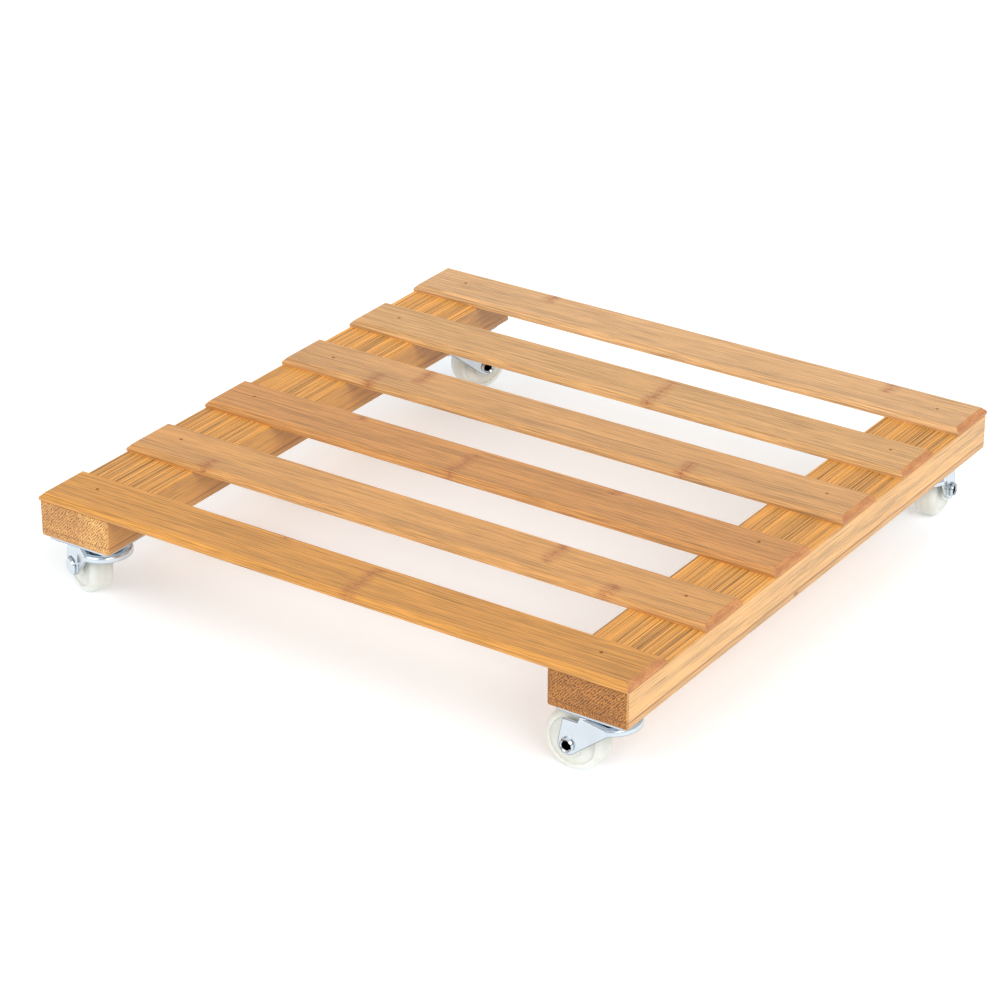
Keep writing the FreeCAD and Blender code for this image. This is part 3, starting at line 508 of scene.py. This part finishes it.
def soften_edges(node, width):
    """Round a piece's sharp edges a little, as its real ones are."""
    piece = frame["nodes"][node]
    merge = piece.modifiers.new("FlatFaces", "DECIMATE")
    merge.decimate_type = "DISSOLVE"
    merge.angle_limit = FLAT_ANGLE
    bevel = piece.modifiers.new("SoftEdges", "BEVEL")
    bevel.width = width
    bevel.segments = 2
    bevel.limit_method = "ANGLE"
    bevel.angle_limit = SHARP_ANGLE


def finish_node(node, material):
    """Give a CAD node its material."""
    piece = frame["nodes"][node]
    piece.data.materials.clear()
    piece.data.materials.append(material)


def joint_of(name):
    """The frame's record of a joint."""
    return next(joint for joint in frame["joints"] if joint["name"] == name)


def wheel_measures(node, centre, axis):
    """Tread radius, bore radius, and half widths of the hub and of the rim, read off a wheel."""
    radius, bore, hub_half, rim_half = 0.0, math.inf, 0.0, 0.0
    inner_share, outer_share = RIM_BAND
    for vertex in frame["nodes"][node].data.vertices:
        offset = vertex.co - centre
        along = offset.dot(axis)
        out = (offset - along * axis).length
        radius = max(radius, out)
        bore = min(bore, out)
        hub_half = max(hub_half, abs(along))
        if inner_share * radius < out < outer_share * radius:
            rim_half = max(rim_half, abs(along))
    return radius, bore, hub_half, rim_half


def arc_points(centre_out, centre_along, radius, start, end, steps):
    """Points of an arc in a lathe profile, as pairs of distance out and distance along."""
    points = []
    for step in range(steps + 1):
        angle = math.radians(start + (end - start) * step / steps)
        points.append((centre_out + radius * math.cos(angle), centre_along + radius * math.sin(angle)))
    return points


def wheel_profile(radius, bore, hub_half, rim_half):
    """Half of a wheel's section, from the bore's side to the parting line in the middle of the tread."""
    lip = WHEEL_LIP
    hub_out = WHEEL_HUB_RADIUS
    hub_foot = hub_out + WHEEL_DRAFT
    rim_in = radius - WHEEL_RIM_DEPTH
    rim_foot = rim_in - WHEEL_DRAFT
    floor = rim_half - WHEEL_RECESS
    corner = WHEEL_CORNER
    tread = radius - PARTING_HEIGHT
    profile = [(bore, 0.0), (bore, hub_half - lip)]
    profile += arc_points(bore + lip, hub_half - lip, lip, 180, 90, 3)
    profile += arc_points(hub_out - lip, hub_half - lip, lip, 90, 0, 4)
    profile += [(hub_foot, floor + lip)]
    profile += arc_points(hub_foot + lip, floor + lip, lip, 180, 270, 3)
    profile += arc_points(rim_foot - lip, floor + lip, lip, 270, 360, 3)
    profile += arc_points(rim_in + lip, rim_half - lip, lip, 180, 90, 4)
    profile += arc_points(tread - corner, rim_half - corner, corner, CORNER_START, 0, 12)
    profile += [(tread, PARTING_FOOT), (radius, PARTING_TOP), (radius, 0.0)]
    return profile


def lathe(name, profile):
    """Turn a closed ring of (out, along) points about Z."""
    mesh = bpy.data.meshes.new(name)
    work = bmesh.new()
    rings = []
    for turn in range(LATHE_STEPS):
        angle = 2 * math.pi * turn / LATHE_STEPS
        rings.append([work.verts.new((out * math.cos(angle), out * math.sin(angle), along))
                      for out, along in profile])
    count = len(profile)
    for turn in range(LATHE_STEPS):
        this, following = rings[turn], rings[(turn + 1) % LATHE_STEPS]
        for index in range(count):
            after = (index + 1) % count
            work.faces.new((this[index], following[index], following[after], this[after]))
    bmesh.ops.recalc_face_normals(work, faces=work.faces)
    for face in work.faces:
        face.smooth = True
    work.to_mesh(mesh)
    work.free()
    piece = bpy.data.objects.new(name, mesh)
    bpy.context.scene.collection.objects.link(piece)
    return piece


def moulded_wheel(corner, material):
    """The wheel with its fillets, rounded tread and parting line, in place of the plain CAD wheel."""
    joint = joint_of(f"spin_{corner}")
    centre = Vector(joint["pos_m"])
    axis = Vector(joint["axis"]).normalized()
    half = wheel_profile(*wheel_measures(f"wheel_{corner}", centre, axis))
    mirrored = [(out, -along) for out, along in reversed(half[1:-1])]
    piece = lathe(f"moulded_wheel_{corner}", half + mirrored)
    turn = axis.to_track_quat("Z", "Y").to_matrix().to_4x4()
    piece.data.transform(Matrix.Translation(centre) @ turn)
    piece.data.materials.append(material)
    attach(piece, f"caster_wheel_{corner}")
    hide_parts(f"wheel_{corner}")


def paint_deck():
    """Slats, rails and brads."""
    for name in SLATS:
        finish_node(name, bamboo_slat(name))
        soften_edges(name, WOOD_EDGE)
    nail = metal("dull_nail")
    for side in ("left", "right"):
        finish_node(f"rail_{side}", bamboo_rail(f"rail_{side}"))
        soften_edges(f"rail_{side}", WOOD_EDGE)
        finish_node(f"brad_nails_{side}", nail)


def paint_casters():
    """Four casters: zinc-plated fork and plate, bright rivet, screws, balls and plastic wheel."""
    fork = metal("zinc_fork")
    plate = metal("zinc_plate")
    rivet = metal("bright_rivet")
    screw = metal("screw_steel")
    ball = metal("ball_steel")
    plastic = milky_plastic()
    for corner in CORNERS:
        finish_node(f"fork_{corner}", fork)
        soften_edges(f"fork_{corner}", FORK_EDGE)
        finish_node(f"axle_{corner}", rivet)
        finish_node(f"ball_race_{corner}", ball)
        finish_node(f"plate_screws_{corner}", screw)
        for part in ("plate", "kingpin", "thrust_washer"):
            finish_node(f"{part}_{corner}", plate)
        moulded_wheel(corner, plastic)


def add_floor():
    """A large pale floor under the wheels."""
    tree = Tree("floor_paper")
    speckle = tree.noise(tree.scaled(tree.millimetres(), (0.02, 0.02, 0.02)), detail=3.0)
    colour = tree.blend(speckle, *FLOOR_TONES)
    paper = tree.shade(Base_Color=colour, Roughness=0.9, Emission_Color=linear(WHITE),
                       Emission_Strength=FLOOR_GLOW)
    sides = ((-1, -1), (1, -1), (1, 1), (-1, 1))
    corners = [(FLOOR_REACH * x, FLOOR_REACH * y, 0) for x, y in sides]
    mesh = bpy.data.meshes.new("floor")
    mesh.from_pydata(corners, [], [(0, 1, 2, 3)])
    mesh.materials.append(paper)
    floor = bpy.data.objects.new("floor", mesh)
    bpy.context.scene.collection.objects.link(floor)


def add_light(name, azimuth, elevation, strength, softness):
    """A distant soft light. Azimuth 0 shines from the front, along +Y, and 90 from the right."""
    light = bpy.data.lights.new(name, "SUN")
    light.energy = strength
    light.angle = math.radians(softness)
    holder = bpy.data.objects.new(name, light)
    turn, rise = math.radians(azimuth), math.radians(elevation)
    toward = Vector((math.sin(turn) * math.cos(rise), -math.cos(turn) * math.cos(rise), math.sin(rise)))
    holder.rotation_mode = "QUATERNION"
    holder.rotation_quaternion = toward.to_track_quat("Z", "Y")
    holder.location = LIGHT_DISTANCE * toward
    bpy.context.scene.collection.objects.link(holder)


def light_studio():
    """White surroundings, brighter overhead, a soft key from the right and a fill from the front."""
    world = bpy.data.worlds.new("studio")
    bpy.context.scene.world = world
    world.use_nodes = True
    nodes, links = world.node_tree.nodes, world.node_tree.links
    coordinates = nodes.new("ShaderNodeTexCoord")
    split = nodes.new("ShaderNodeSeparateXYZ")
    ramp = nodes.new("ShaderNodeMapRange")
    links.new(coordinates.outputs["Generated"], split.inputs["Vector"])
    links.new(split.outputs["Z"], ramp.inputs["Value"])
    ramp.inputs["From Min"].default_value = 0.0
    ramp.inputs["From Max"].default_value = SKY_TOP
    ramp.inputs["To Min"].default_value = SKY_LOW
    ramp.inputs["To Max"].default_value = SKY_HIGH
    links.new(ramp.outputs["Result"], nodes["Background"].inputs["Strength"])
    nodes["Background"].inputs["Color"].default_value = (1.0, 1.0, 1.0, 1.0)
    add_light("key", azimuth=62, elevation=38, strength=1.5, softness=35)
    add_light("front_fill", azimuth=-8, elevation=30, strength=0.7, softness=45)


def add_camera():
    """The camera stands right of the front, looking down on the deck."""
    camera = bpy.data.cameras.new("camera")
    camera.sensor_width = CAMERA_SENSOR
    camera.lens = CAMERA_LENS
    camera.clip_end = CAMERA_REACH
    holder = bpy.data.objects.new("camera", camera)
    turn, drop = math.radians(CAMERA_TURN), math.radians(CAMERA_DROP)
    ahead = Vector((-math.sin(turn) * math.cos(drop), math.cos(turn) * math.cos(drop), -math.sin(drop)))
    holder.location = CAMERA_PLACE
    holder.rotation_mode = "QUATERNION"
    holder.rotation_quaternion = ahead.to_track_quat("-Z", "Y")
    bpy.context.scene.collection.objects.link(holder)
    bpy.context.scene.camera = holder


bpy.context.scene.view_settings.view_transform = "Standard"
paint_deck()
paint_casters()
add_floor()
light_studio()
add_camera()
